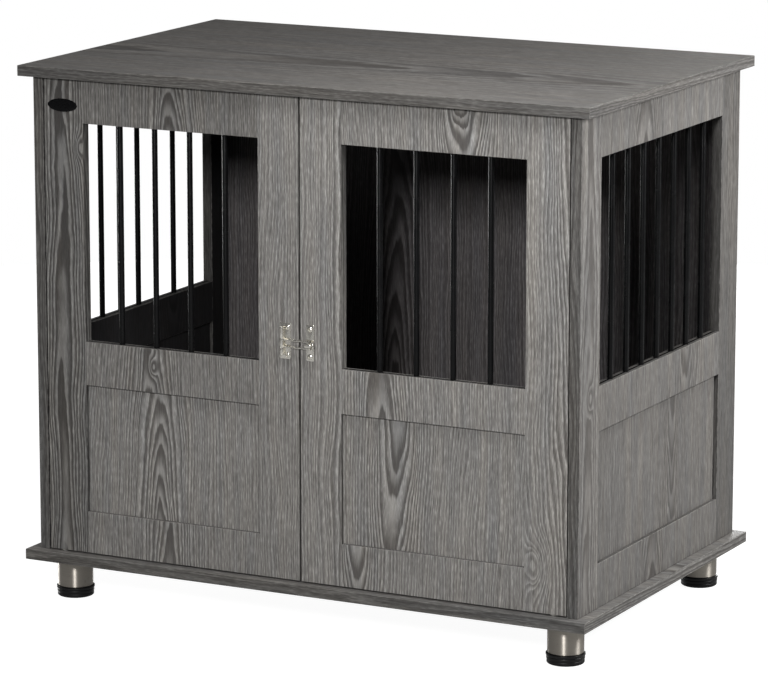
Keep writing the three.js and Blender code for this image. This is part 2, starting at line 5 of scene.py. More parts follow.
import bmesh
import bpy
import numpy as np
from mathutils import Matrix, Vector


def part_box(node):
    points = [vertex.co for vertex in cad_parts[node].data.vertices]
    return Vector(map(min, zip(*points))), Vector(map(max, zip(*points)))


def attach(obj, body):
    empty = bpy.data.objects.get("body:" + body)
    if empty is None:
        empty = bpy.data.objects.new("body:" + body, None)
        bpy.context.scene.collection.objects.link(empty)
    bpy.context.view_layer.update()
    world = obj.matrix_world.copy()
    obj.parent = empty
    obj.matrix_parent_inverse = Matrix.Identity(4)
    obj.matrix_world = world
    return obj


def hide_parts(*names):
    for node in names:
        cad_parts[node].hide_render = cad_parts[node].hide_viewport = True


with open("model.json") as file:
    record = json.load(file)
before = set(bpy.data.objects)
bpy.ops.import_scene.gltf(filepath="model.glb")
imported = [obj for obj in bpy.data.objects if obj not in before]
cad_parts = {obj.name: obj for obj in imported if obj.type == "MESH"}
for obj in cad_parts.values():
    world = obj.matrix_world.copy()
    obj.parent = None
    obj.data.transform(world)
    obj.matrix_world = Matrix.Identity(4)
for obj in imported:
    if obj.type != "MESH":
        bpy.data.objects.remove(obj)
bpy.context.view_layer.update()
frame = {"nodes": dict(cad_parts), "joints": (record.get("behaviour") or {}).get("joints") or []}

# Boards and back panel: the top board overhangs all round, the base board is the floor of the
# crate, and the back panel stands between the two side frames. All are 15 mm board with a grey
# wood grain, limed in the pores, and the same grain on a thin band round the edges.

MM = 0.001


class Signal:
    """An output of a node. Sums written with it add Math nodes to its tree."""

    def __init__(self, nodes, socket):
        self.nodes = nodes
        self.socket = socket

    def maths(self, operation, *terms):
        return self.nodes.node("Math", {"operation": operation}, dict(enumerate(terms)))

    def __add__(self, other):
        return self.maths("ADD", self, other)

    def __radd__(self, other):
        return self.maths("ADD", other, self)

    def __sub__(self, other):
        return self.maths("SUBTRACT", self, other)

    def __rsub__(self, other):
        return self.maths("SUBTRACT", other, self)

    def __mul__(self, other):
        return self.maths("MULTIPLY", self, other)

    def __rmul__(self, other):
        return self.maths("MULTIPLY", other, self)

    def __truediv__(self, other):
        return self.maths("DIVIDE", self, other)

    def __pow__(self, other):
        return self.maths("POWER", self, other)

    def __mod__(self, other):
        return self.maths("FLOORED_MODULO", self, other)

    def __abs__(self):
        return self.maths("ABSOLUTE", self)

    def least(self, other):
        return self.maths("MINIMUM", self, other)

    def most(self, other):
        return self.maths("MAXIMUM", self, other)

    def falloff(self):
        """1 where this is 0, dying away on either side like a bell curve."""
        return self.maths("EXPONENT", self * self * -1.0)

    def ease(self, low, high):
        """0 up to low, 1 from high on and a smooth step between; low may be the larger one."""
        sockets = {"Value": self, "From Min": low, "From Max": high}
        return self.nodes.node("MapRange", {"interpolation_type": "SMOOTHSTEP"}, sockets)


class Nodes:
    """The node tree of a material or of the world."""

    def __init__(self, tree):
        self.tree = tree

    def node(self, kind, settings=None, sockets=None, out=0):
        """Adds a node: its settings first, then the value or link of each socket given."""
        node = self.tree.nodes.new("ShaderNode" + kind)
        for key, value in (settings or {}).items():
            setattr(node, key, value)
        for key, value in (sockets or {}).items():
            self.feed(node.inputs[key], value)
        return Signal(self, node.outputs[out])

    def feed(self, socket, value):
        if isinstance(value, Signal):
            self.tree.links.new(value.socket, socket)
        else:
            socket.default_value = value


class Finish(Nodes):
    """A material in the making, round one Principled shader."""

    def __init__(self, name, **fixed):
        self.material = bpy.data.materials.new(name)
        self.material.use_nodes = True
        super().__init__(self.material.node_tree)
        self.tree.nodes.clear()
        self.shader = self.tree.nodes.new("ShaderNodeBsdfPrincipled")
        output = self.tree.nodes.new("ShaderNodeOutputMaterial")
        self.tree.links.new(self.shader.outputs[0], output.inputs["Surface"])
        self.surface(**fixed)

    def surface(self, **sockets):
        """Sets the shader's own sockets: base_color feeds Base Color, and so on."""
        for key, value in sockets.items():
            name = key.replace("_", " ").title().replace("Ior", "IOR")
            self.feed(self.shader.inputs[name], value)

    def place(self):
        """x, y and z on the piece, in millimetres."""
        point = self.node("TexCoord", out="Object")
        return [self.node("SeparateXYZ", sockets={0: point}, out=i) / MM for i in range(3)]

    def facing(self):
        """x, y and z of the direction that the surface faces."""
        outward = self.node("TexCoord", out="Normal")
        return [self.node("SeparateXYZ", sockets={0: outward}, out=i) for i in range(3)]

    def noise(self, x, y, z, detail):
        """Noise about 0, mostly between -0.3 and 0.3, with features about 1 across."""
        point = self.node("CombineXYZ", sockets={0: x, 1: y, 2: z})
        sockets = {"Vector": point, "Scale": 1.0, "Detail": detail}
        return self.node("TexNoise", sockets=sockets) - 0.5

    def mottle(self, place, size, detail):
        """Noise with features about as wide as size in every direction."""
        return self.noise(*(p / size for p in place), detail=detail)

    def blend(self, amount, first, second):
        """The first colour where amount is 0, the second where it is 1."""
        sockets = {0: amount, 6: first, 7: second}
        return self.node("Mix", {"data_type": "RGBA"}, sockets, out=2)

    def tint_and_shade(self, amount, colour, tint):
        """The colour multiplied by a tint, where amount is 1. Some calls lay the wood's own tints with
        it, others lay painted shade.
        """
        settings = {"data_type": "RGBA", "blend_type": "MULTIPLY"}
        return self.node("Mix", settings, {0: amount, 6: colour, 7: tint}, out=2)

    def bump(self, height, millimetres, strength):
        sockets = {"Height": height, "Distance": millimetres * MM, "Strength": strength}
        self.surface(normal=self.node("Bump", sockets=sockets))


def paint(r, g, b):
    """The linear colour of an sRGB one, 0 to 255."""
    shares = np.array([r, g, b]) / 255
    linear = np.where(shares <= 0.04045, shares / 12.92, ((shares + 0.055) / 1.055) ** 2.4)
    return (*linear.tolist(), 1.0)


def span(node):
    """The lowest and highest corners of a CAD node, in millimetres."""
    return [np.array(corner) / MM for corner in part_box(node)]


def dress(node, finish):
    """Gives a CAD node its finish and leaves its mesh alone."""
    slots = frame["nodes"][node].data.materials
    slots.clear()
    slots.append(finish.material)


X, Y, Z = range(3)
RING = 4.1  # width of a year ring
RING_DRIFT = {"size": 17.0, "rings": 4.0}  # how the rings' widths come and go
GRAIN = {  # the width and the length of the features in each layer of the grain
    "wave": (60.0, 240.0),
    "ripple": (13.0, 80.0),
    "tremble": (3.0, 22.0),
    "fibre": (1.1, 12.0),
    "strand": (1.7, 70.0),
    "patch": (7.0, 45.0),
    "tint": (20.0, 380.0),
}
REACH = {"wave": 26.0, "ripple": 4.0, "tremble": 1.2}  # how far these layers push the rings
QUIET = (12.0, 70.0)  # distances from the heart between which the rings fade
BAND_PLACE = 20.0  # where the bands on the boards' ends are cut, measured from the heart
WOOD_DARK = paint(80, 77, 75)
WOOD_LIGHT = paint(183, 181, 178)
WOOD_EDGE = paint(150, 148, 144)
WOOD_COOL = (0.9, 0.92, 0.94, 1.0)
WOOD_WARM = (1.1, 1.08, 1.04, 1.0)
# Painted shade: the next two tints darken the faces turned to the inside of the crate, which lies in
# shade.
INSIDE_PAINTED_SHADE = (0.11, 0.11, 0.12, 1.0)  # on the faces inside the crate
BACK_INSIDE_PAINTED_SHADE = (0.54, 0.52, 0.55, 1.0)  # on the back panel's face inside the crate
BAND_STAIN = (0.65, 0.65, 0.65, 1.0)  # on the boards' edge bands along the front and back
# Partly painted shade: the narrow faces include the reveals of the windows and panels, which lie in
# shade.
RIM_STAIN_AND_SHADE = (0.52, 0.52, 0.52, 1.0)  # on the narrow faces of the frames' members
BOARD_STAIN = (0.9, 0.9, 0.9, 1.0)  # on the top and base boards
ROOM_HALF_WIDTH = float(span("right_side_front_stile")[1][X])  # the boards are dark inside these
ROOM_HALF_DEPTH = 253.0

# How a board was sawn. The middle of the tree is a line behind the board: it passes under the
# place heart, at depth, and leans by lean for each unit along the grain. The tone makes the board
# darker or paler than others, partly as if from another tree and partly as painted light and shade
# where the light falls off across the crate. A knot is a place, a height, a size and how far it
# pushes the year rings outward.
Cut = namedtuple("Cut", "heart depth lean tone knots", defaults=(1.0, ()))


def edge_distance(place, node):
    """Distance from the nearest edge of the piece's box: the second smallest of the three
    distances from a pair of its faces."""
    low, high = span(node)
    near = [(p - a).least(b - p) for p, a, b in zip(place, low.tolist(), high.tolist())]
    smaller = near[0].least(near[1])
    larger = near[0].most(near[1])
    return smaller.most(larger.least(near[2]))


def sawn_grain(finish, node, grain, across, cut, figure, banded):
    """The grain of one board, which runs along one axis: how much lime it holds, its fibres and
    its broad tint. Year rings are equal distances from the middle line of the tree, so a leaning
    line gives nested arches, upright for a positive lean. figure is how strongly they show."""
    low, high = span(node)
    seed = float(sum(map(ord, node)) % 97)
    thickness = 3 - grain - across
    place = finish.place()
    along = place[grain] - float(low[grain] + high[grain]) / 2
    aside = place[across] - float(cut.heart)
    inward = place[thickness] - float(low[thickness])
    if banded:
        end = abs(finish.facing()[grain]).ease(0.6, 0.8)
        along = along + end * (place[across] - along)
        aside = aside + end * (BAND_PLACE - aside)

    def layer(kind, detail):
        width, length = GRAIN[kind]
        return finish.noise(aside / width, along / length, inward / width + seed, detail)

    sideways = aside + layer("wave", 1.0) * REACH["wave"]
    deep = inward + along * cut.lean + float(cut.depth)
    radius = (sideways * sideways + deep * deep) ** 0.5
    radius = radius + layer("ripple", 1.0) * REACH["ripple"] + layer("tremble", 2.0) * REACH["tremble"]
    for where, height, size, push in cut.knots:
        beside = (place[across] - float(where)) / size
        above = (place[grain] - float(height)) / (2.2 * size)
        radius = radius + beside.falloff() * above.falloff() * push
    drift = finish.noise(radius / RING_DRIFT["size"], seed, 0.0, detail=1.0) * RING_DRIFT["rings"]
    year = (radius / RING + drift) % 1.0
    line = year.ease(0.0, 0.16) * year.ease(0.85, 0.2)

    # Lime fills the pores, less of them over the heart. Away from the heart the rings grow
    # faint, and long strands take their place.
    fibre = layer("fibre", 2.0)
    pores = fibre.ease(-0.1, 0.22) * (1 - (sideways / 9).falloff() * 0.7)
    strands = layer("strand", 1.0).ease(-0.2, 0.2)
    patch = layer("patch", 2.0).ease(-0.25, 0.25)
    quiet = abs(sideways).ease(*QUIET) * 0.5
    lines = line * (1 - quiet) + quiet * 0.32
    light = lines * (patch * 0.4 + 0.6) * (pores * 0.45 + 0.55) * figure * 0.85
    light = light + pores * 0.15 + strands * (quiet * 0.24 + 0.04)
    return light, fibre, layer("tint", 3.0).ease(-0.3, 0.3)


def wood(node, grain, across, cut, inner, figure=1.0, banded=False):
    """Grey limed wood for one board. inner holds the axis and the sign of the face that is turned
    to the inside of the crate, and the painted shade laid on that face. A banded board has edge
    bands of the same wood."""
    finish = Finish(node + "_wood", specular_ior_level=0.15)
    place = finish.place()
    facing = finish.facing()
    light, fibre, broad = sawn_grain(finish, node, grain, across, cut, figure, banded)
    colour = finish.blend(light.least(1.0), WOOD_DARK, WOOD_LIGHT)
    colour = finish.tint_and_shade(1.0, colour, finish.blend(broad, WOOD_COOL, WOOD_WARM))
    # The members' tones are partly painted light and shade.
    colour = finish.tint_and_shade(1.0, colour, (cut.tone, cut.tone, cut.tone, 1.0))
    axis, sign, inner_shade = inner
    # inside picks out the faces turned to the inside of the crate, which get painted shade.
    inside = (facing[axis] * sign).ease(0.5, 0.9)
    if banded:
        # On the boards the painted shade keeps to the room inside the crate.
        room = (ROOM_HALF_WIDTH - abs(place[X])).least(ROOM_HALF_DEPTH - abs(place[Y]))
        inside = inside * room.ease(0.0, 0.2)
        colour = finish.tint_and_shade(1.0, colour, BOARD_STAIN)
        colour = finish.tint_and_shade(abs(facing[across]).ease(0.5, 0.8), colour, BAND_STAIN)
    else:
        # The narrow faces are darkened: partly a stain, partly painted shade in the reveals.
        rim = abs(facing[3 - grain - across]).ease(0.8, 0.4)
        colour = finish.tint_and_shade(rim, colour, RIM_STAIN_AND_SHADE)
    # Painted shade on the faces inside the crate.
    colour = finish.tint_and_shade(inside, colour, inner_shade)

    rub = finish.mottle(place, 9, detail=3.0).ease(-0.15, 0.2)
    wear = edge_distance(place, node).ease(1.1, 0.2) * rub * 0.55
    finish.surface(base_color=finish.blend(wear, colour, WOOD_EDGE))
    finish.surface(roughness=0.5 + light * 0.12 + broad * 0.05 - wear * 0.1)
    finish.bump(light + fibre * 0.5, 0.12, strength=0.6)
    return finish


TOP_CUT = Cut(-60, 190, 0.02)
BASE_CUT = Cut(40, 90, 0.02)
BACK_CUT = Cut(-116, 30, 0.07)
dress("top_board", wood("top_board", X, Y, TOP_CUT, (Z, -1, INSIDE_PAINTED_SHADE), figure=0.5, banded=True))
dress("base_board", wood("base_board", X, Y, BASE_CUT, (Z, 1, INSIDE_PAINTED_SHADE), figure=0.8, banded=True))
dress("back_panel", wood("back_panel", Z, X, BACK_CUT, (Y, -1, BACK_INSIDE_PAINTED_SHADE), figure=1.2))

# Side frames: each has two stiles and three rails, mortised together, with a thin panel held in
# grooves under the middle rail. The grain runs upright in every member.

# The tones partly paint the light on the side: the front stile paler and the rear stile darker, as the
# light on the side falls off towards the back.
SIDE_CUTS = {
    "front_stile": Cut(-236, 18, 0.02, 1.3176, [(-232, 365, 9, 9)]),
    "rear_stile": Cut(300, 40, 0.02, 0.81),
    "top_rail": Cut(-60, 30, 0.1, 1.08),
    "middle_rail": Cut(90, 26, -0.1, 1.08),
    "bottom_rail": Cut(-20, 30, 0.1, 1.08),
    "lower_panel": Cut(58, 22, -0.08, 1.08),
}

for side, inward_sign in (("left_side", 1), ("right_side", -1)):
    for member, cut in SIDE_CUTS.items():
        node = f"{side}_{member}"
        dress(node, wood(node, Z, Y, cut, (X, inward_sign, INSIDE_PAINTED_SHADE), figure=0.5))

# Doors: framed like the sides, with a window above and a thin panel below. They hang between the
# boards, in front of the side frames' edges, and meet in the middle. Same wood, upright grain.

# The tones partly paint the light on the doors: the left door's hinge stile and top rail are darker,
# as the light falls off towards the left.
LEFT_DOOR_CUTS = {
    "hinge_stile": Cut(-375, 18, 0.02, 0.7, [(-346, 651, 8, 9)]),
    "meeting_stile": Cut(-130, 40, 0.01, 1.12),
    "top_rail": Cut(-203, 18, 0.12, 0.8),
    "middle_rail": Cut(-238, 18, 0.08, 1.0, [(-231, 351, 7, 8)]),
    "bottom_rail": Cut(-207, 20, 0.06, 1.1),
    "lower_panel": Cut(-224, 19, 0.09, 1.16),
}
RIGHT_DOOR_CUTS = {
    "hinge_stile": Cut(420, 40, -0.03, 1.2, [(358, 138, 17, 22)]),
    "meeting_stile": Cut(90, 40, 0.01, 1.2),
    "top_rail": Cut(244, 20, -0.18, 1.1),
    "middle_rail": Cut(123, 22, 0.06, 1.2),
    "bottom_rail": Cut(89, 20, -0.12, 1.15),
    "lower_panel": Cut(140, 19, -0.08, 1.18),
}

for door, cuts in (("left_door", LEFT_DOOR_CUTS), ("right_door", RIGHT_DOOR_CUTS)):
    for member, cut in cuts.items():
        node = f"{door}_{member}"
        figure = 1.3 if node == "left_door_hinge_stile" else 1.0
        dress(node, wood(node, Z, X, cut, (Y, 1, INSIDE_PAINTED_SHADE), figure))

# Window bars: round black steel bars, seven in each side and four in each door. A flat strip on
# edge is welded across their ends and sits in a groove of each rail. Powder coated.

SHARP_ANGLE = 35.0  # degrees, from which an edge is shaded as a corner
CORNER_STEPS = 5


def mesh_of(name, grids, finish, body, stands_for=(), slot=None):
    """One mesh of several grids. A grid holds rings of points, in millimetres, and each ring
    closes on itself. Corners that fall together are merged, so a ring of equal points is a pole."""
    points, faces, count = [], [], 0
    for grid in grids:
        rings, around = grid.shape[:2]
        corner = np.arange(rings * around).reshape(rings, around) + count
        beside = np.roll(corner, -1, axis=1)
        quads = np.stack([corner[:-1], beside[:-1], beside[1:], corner[1:]], axis=-1)
        points.append(grid.reshape(-1, 3))
        faces.append(quads.reshape(-1, 4))
        count += rings * around
    mesh = bpy.data.meshes.new(name)
    mesh.from_pydata(np.concatenate(points) * MM, [], np.concatenate(faces).tolist())
    shape = bmesh.new()
    shape.from_mesh(mesh)
    bmesh.ops.remove_doubles(shape, verts=shape.verts, dist=1e-6)
    bmesh.ops.dissolve_degenerate(shape, edges=shape.edges, dist=1e-7)
    bmesh.ops.recalc_face_normals(shape, faces=shape.faces)
    shape.to_mesh(mesh)
    shape.free()
    mesh.shade_smooth()
    mesh.set_sharp_from_angle(angle=math.radians(SHARP_ANGLE))
    mesh.materials.append(finish.material)
    piece = bpy.data.objects.new(name, mesh)
    bpy.context.scene.collection.objects.link(piece)
    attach(piece, body)
    if stands_for:
        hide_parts(*stands_for)


def rounded(profile, radius, closed=False):
    """A run of points with its corners rounded: each corner becomes a quadratic curve that
    starts and ends at most radius away from it."""
    profile = np.asarray(profile, float)

    def towards(other):
        step = other - profile
        length = np.linalg.norm(step, axis=1, keepdims=True)
        return profile + step * np.minimum(radius / np.maximum(length, 1e-9), 0.45)

    t = np.linspace(0, 1, CORNER_STEPS)[None, :, None]
    start = towards(np.roll(profile, 1, axis=0))[:, None]
    end = towards(np.roll(profile, -1, axis=0))[:, None]
    curve = start * (1 - t) ** 2 + profile[:, None] * 2 * t * (1 - t) + end * t**2
    if closed:
        return np.concatenate([curve.reshape(-1, 2), curve[0, :1]])
    return np.concatenate([profile[:1], curve[1:-1].reshape(-1, 2), profile[-1:]])


def rod_section(radius, low, high, edge):
    """Half the section of a round rod, with its ends' edges rounded."""
    return rounded([(0, low), (radius, low), (radius, high), (0, high)], edge)


def turned(profile, centre, sides, axis=Z):
    """A profile of radius and height spun about a line along an axis: a point at angle t stands
    at radius times cos t and sin t from the line. centre holds the line's other coordinates."""
    radius, height = np.asarray(profile, float).T
    angle = np.linspace(0, 2 * np.pi, sides, endpoint=False)
    others = [i for i in range(3) if i != axis]
    grid = np.empty((len(radius), sides, 3))
    grid[..., others[0]] = centre[0] + radius[:, None] * np.cos(angle)
    grid[..., others[1]] = centre[1] + radius[:, None] * np.sin(angle)
    grid[..., axis] = height[:, None]
    return grid


def round_rectangle(middle, half, corner, steps=7):
    """The outline of a rectangle with round corners, as a function of how far it is drawn in:
    each quarter turn of a small circle stands at its own corner."""
    turn = np.linspace(0, np.pi / 2, steps) + np.arange(4)[:, None] * np.pi / 2
    signs = np.array([[1, 1], [-1, 1], [-1, -1], [1, -1]])[:, None, :]

    def outline(inset):
        small = max(corner - inset, 0.0)
        circle = np.stack([np.cos(turn), np.sin(turn)], axis=-1) * small
        points = signs * (np.asarray(half, float) - inset - small) + circle
        return points.reshape(-1, 2) + middle

    return outline


def slab(outline, near, far, edge, axis=Z, steps=CORNER_STEPS):
    """A plate between two values on an axis. Its outline is drawn in and moved along a quarter
    circle of radius edge at both faces, and each face closes at a pole in its middle."""
    turn = np.linspace(0, np.pi / 2, steps)
    inset = edge * (1 - np.sin(turn))
    rise = edge * (1 - np.cos(turn))
    rings = np.stack([outline(value) for value in np.concatenate([inset, inset[::-1]])])
    pole = np.broadcast_to(rings[:1].mean(axis=1, keepdims=True), rings[:1].shape)
    levels = np.concatenate([[near], near + rise, far - rise[::-1], [far]])
    grid = np.empty((len(levels), rings.shape[1], 3))
    grid[..., [i for i in range(3) if i != axis]] = np.concatenate([pole, rings, pole])
    grid[..., axis] = levels[:, None]
    return grid


BAR = {"radius": 4.0, "edge": 0.6, "sides": 32}
STRIP = {"thickness": 3.0, "height": 8.0, "proud": 0.4, "end_gap": 0.5, "corner": 0.8, "edge": 0.6}
COAT_BLACK = paint(9, 9, 10)
COAT_RUBBED = paint(22, 22, 22)


def powder_coat(name):
    """Black powder coat: a fine pebbled skin with gloss that comes and goes, dusty in places. Its
    highlight is drawn out along the bar."""
    finish = Finish(name, specular_ior_level=0.16, anisotropic=0.8, anisotropic_rotation=0.25)
    place = finish.place()
    pebble = finish.mottle(place, 0.9, detail=1.0)
    haze = finish.mottle(place, 30, detail=3.0).ease(-0.2, 0.3)
    rub = finish.mottle(place, 5, detail=4.0).ease(0.12, 0.3)
    finish.surface(base_color=finish.blend(haze * 0.25 + rub * 0.4, COAT_BLACK, COAT_RUBBED))
    finish.surface(roughness=0.24 + haze * 0.06 + pebble * 0.04)
    finish.bump(pebble, 0.03, strength=0.3)
    return finish


def window_bars(name, body, stiles, across, count, finish):
    """Upright bars at equal steps across the window, and the strips at their ends."""
    left = span(f"{name}_{stiles[0]}")[1][across]
    right = span(f"{name}_{stiles[1]}")[0][across]
    sill = span(f"{name}_middle_rail")[1][Z]
    head = span(f"{name}_top_rail")[0][Z]
    node = f"{name}_window_bars"
    middle = sum(span(node))[:2] / 2
    profile = rod_section(BAR["radius"], sill, head, BAR["edge"])
    grids = []
    for i in range(1, count + 1):
        centre = middle.copy()
        centre[across] = left + (right - left) * i / (count + 1)
        grids.append(turned(profile, centre, BAR["sides"]))
    half = np.full(2, STRIP["thickness"] / 2)
    half[across] = (right - left) / 2 - STRIP["end_gap"]
    outline = round_rectangle(middle, half, STRIP["corner"])
    for bottom in (sill + STRIP["proud"] - STRIP["height"], head - STRIP["proud"]):
        grids.append(slab(outline, bottom, bottom + STRIP["height"], STRIP["edge"]))
    mesh_of(f"{name}_bars", grids, finish, body, [node], slot="black_steel")


bar_coat = powder_coat("black_powder_coat")
for side in ("left_side", "right_side"):
    window_bars(side, "carcass", ("front_stile", "rear_stile"), Y, 7, bar_coat)
window_bars("left_door", "left_door", ("hinge_stile", "meeting_stile"), X, 4, bar_coat)
window_bars("right_door", "right_door", ("meeting_stile", "hinge_stile"), X, 4, bar_coat)

# Badge: a thin oval plate of black enamel, bare. It is pinned from behind to the left door, near
# the top of its hinge stile.

BADGE = {"middle": (-371.0, 708.8), "half": (23.5, 9.2), "thickness": 1.2, "edge": 0.5}
ENAMEL_BLACK = paint(10, 10, 11)
ENAMEL_WORN = paint(40, 39, 37)


def oval(middle, half, steps=96):
    """An ellipse as a function of how far it is drawn in from its edge."""
    turn = np.linspace(0, 2 * np.pi, steps, endpoint=False)

    def outline(inset):
        around = np.stack([np.cos(turn), np.sin(turn)], axis=-1)
        return around * (np.asarray(half) - inset) + middle

    return outline


def enamel(name):
    """Black enamel that has flowed a little unevenly, under a clear glaze with small chips."""
    finish = Finish(name, coat_weight=0.08, coat_roughness=0.08, specular_ior_level=0.15)
    place = finish.place()
    flow = finish.mottle(place, 6, detail=2.0)
    chips = finish.mottle(place, 1.2, detail=4.0).ease(0.2, 0.3)
    finish.surface(base_color=finish.blend(chips * 0.5, ENAMEL_BLACK, ENAMEL_WORN))
    finish.surface(roughness=0.28 + flow * 0.2 + chips * 0.2)
    finish.bump(flow, 0.03, strength=0.4)
    return finish


door_face = float(span("left_door_hinge_stile")[0][Y])
badge_outline = oval(BADGE["middle"], BADGE["half"])
badge_face = door_face - BADGE["thickness"]
badge_plate = slab(badge_outline, badge_face, door_face, BADGE["edge"], axis=Y)
mesh_of("left_door_badge", [badge_plate], enamel("black_enamel"), "left_door")

# Door pivots: a plain steel pin stands in each board, and turns in a nylon bush pressed into the
# end of the door's hinge stile. They hide in the 2 mm gap above and below each door.

STEEL_GREY = paint(150, 150, 147)
STEEL_BRIGHT = paint(196, 195, 190)
NYLON = paint(214, 211, 201)
NYLON_GREASED = paint(168, 160, 142)


def plain_steel(name):
    """Zinc-plated steel: mottled, a little brighter where it rubs."""
    finish = Finish(name, metallic=1.0)
    place = finish.place()
    spangle = finish.mottle(place, 2.2, detail=3.0).ease(-0.2, 0.25)
    scratches = finish.noise(place[X] / 3, place[Y] / 3, place[Z] / 0.15, detail=1.0)
    finish.surface(base_color=finish.blend(spangle, STEEL_GREY, STEEL_BRIGHT))
    finish.surface(roughness=0.38 - spangle * 0.1 + scratches * 0.15)
    finish.bump(scratches, 0.02, strength=0.3)
    return finish


def moulded_nylon(name):
    """Natural nylon, darkened in patches by grease."""
    finish = Finish(name, specular_ior_level=0.4)
    place = finish.place()
    grease = finish.mottle(place, 4, detail=3.0).ease(0.0, 0.3)
    finish.surface(base_color=finish.blend(grease * 0.6, NYLON, NYLON_GREASED))
    finish.surface(roughness=0.5 - grease * 0.2)
    finish.bump(finish.mottle(place, 0.6, detail=2.0), 0.03, strength=0.4)
    return finish


zinc_steel = plain_steel("zinc_plated_steel")
bush_nylon = moulded_nylon("natural_nylon")
for door in ("left_door", "right_door"):
    for end in ("bottom", "top"):
        dress(f"{door}_{end}_pivot_pin", zinc_steel)
        dress(f"{door}_{end}_bush", bush_nylon)

# Legs: brushed stainless tubes under the corners of the base board, each closed at the top, with
# a nut inside for the threaded stem of a black ringed levelling foot.

TUBE = {"radius": 25.0, "wall": 1.5, "plate": 3.0, "edge": 0.5}
NUT = {"radius": 8.0, "bore": 5.3, "bottom": 34.0}
STEM = {"radius": 5.0, "pitch": 2.0, "depth": 0.7, "sunk": 2.0, "steps": 120, "sides": 32}
SPIGOT = {"radius": 23.2, "top": 30.0}
PAD_TOP = 15.0
PAD_EDGE = 0.6
LEG_SIDES = 96
PAD_RINGS = [  # radius and height, from the sole up
    (24.4, 0.0),
    (25.8, 1.2),
    (25.8, 4.8),
    (25.1, 5.6),
    (26.2, 6.4),
    (26.2, 9.6),
    (25.4, 10.4),
    (27.0, 11.4),
    (27.0, 14.2),
    (SPIGOT["radius"], PAD_TOP),
]
STAINLESS = paint(186, 180, 171)
STAINLESS_DULL = paint(150, 144, 136)
PLASTIC_BLACK = paint(17, 17, 18)
PLASTIC_SCUFFED = paint(62, 60, 58)


def brushed_stainless(name):
    """Stainless steel brushed round the tube: fine level lines break up its gloss and draw it
    out upright."""
    finish = Finish(name, metallic=1.0, anisotropic=0.95, anisotropic_rotation=0.25)
    place = finish.place()
    lines = finish.noise(place[X] / 30, place[Y] / 30, place[Z] / 0.22, detail=3.0)
    marks = finish.mottle(place, 7, detail=4.0).ease(0.08, 0.3)
    dull = lines * 0.8 + marks * 0.3 + 0.35
    finish.surface(base_color=finish.blend(dull, STAINLESS, STAINLESS_DULL))
    finish.surface(roughness=0.44 + lines * 0.1 + marks * 0.05)
    finish.bump(lines, 0.02, strength=0.5)
    return finish


def moulded_black(name):
    """Black moulded plastic with a fine spark texture, scuffed grey near the floor."""
    finish = Finish(name, specular_ior_level=0.25)
    place = finish.place()
    spark = finish.mottle(place, 0.5, detail=2.0)
    scuff = finish.noise(place[X] / 6, place[Y] / 6, place[Z] / 1.5, detail=4.0).ease(0.05, 0.35)
    low = place[Z].ease(9.0, 0.0)
    worn = scuff * (low * 0.5 + 0.12)
    finish.surface(base_color=finish.blend(worn, PLASTIC_BLACK, PLASTIC_SCUFFED))
    finish.surface(roughness=0.4 + spark * 0.2 + low * 0.12)
    finish.bump(spark, 0.04, strength=0.5)
    return finish


def leg_tube(node, finish):
    """The tube's half section spun about its middle, with the closed top and the nut."""
    low, high = span(node)
    bottom, top = low[Z], high[Z]
    plate = top - TUBE["plate"]
    inner = TUBE["radius"] - TUBE["wall"]
    profile = [
        (0, plate),
        (NUT["bore"], plate),
        (NUT["bore"], NUT["bottom"]),
        (NUT["radius"], NUT["bottom"]),
        (NUT["radius"], plate),
        (inner, plate),
        (inner, bottom),
        (TUBE["radius"], bottom),
        (TUBE["radius"], top),
        (0, top),
    ]
    grid = turned(rounded(profile, TUBE["edge"]), (low + high)[:2] / 2, LEG_SIDES)
    mesh_of(f"{node}_brushed", [grid], finish, "carcass", [node], slot="brushed_steel")


def levelling_foot(node, finish):
    """The pad and spigot, and the stem, whose radius swings with height and angle as its thread
    climbs."""
    low, high = span(node)
    centre = (low + high)[:2] / 2
    body = [(0, 0), *PAD_RINGS, (SPIGOT["radius"], SPIGOT["top"]), (0, SPIGOT["top"])]
    pad = turned(rounded(body, PAD_EDGE), centre, LEG_SIDES)
    height = np.linspace(SPIGOT["top"] - STEM["sunk"], high[Z], STEM["steps"])[:, None]
    turn = np.linspace(0, 2 * np.pi, STEM["sides"], endpoint=False)
    phase = height / STEM["pitch"] * 2 * np.pi - turn
    radius = STEM["radius"] - STEM["depth"] * (0.5 - 0.5 * np.cos(phase))
    radius[[0, -1]] = 0.0
    stem = np.empty((*radius.shape, 3))
    stem[..., X] = centre[0] + radius * np.cos(turn)
    stem[..., Y] = centre[1] + radius * np.sin(turn)
    stem[..., Z] = height
    mesh_of(f"{node}_moulded", [pad, stem], finish, node, [node], slot="black_plastic")


tube_steel = brushed_stainless("brushed_stainless")
black_plastic = moulded_black("moulded_black_plastic")
for corner in ("front_left", "front_right", "rear_left", "rear_right"):
    leg_tube(f"{corner}_leg_tube", tube_steel)
    levelling_foot(f"{corner}_foot", black_plastic)

# Latch: bright nickel. A plate on the left door carries a hinge barrel; a wire loop on its pin
# drops over a hollow post on the right door's keeper plate, and a turn knob holds it there.

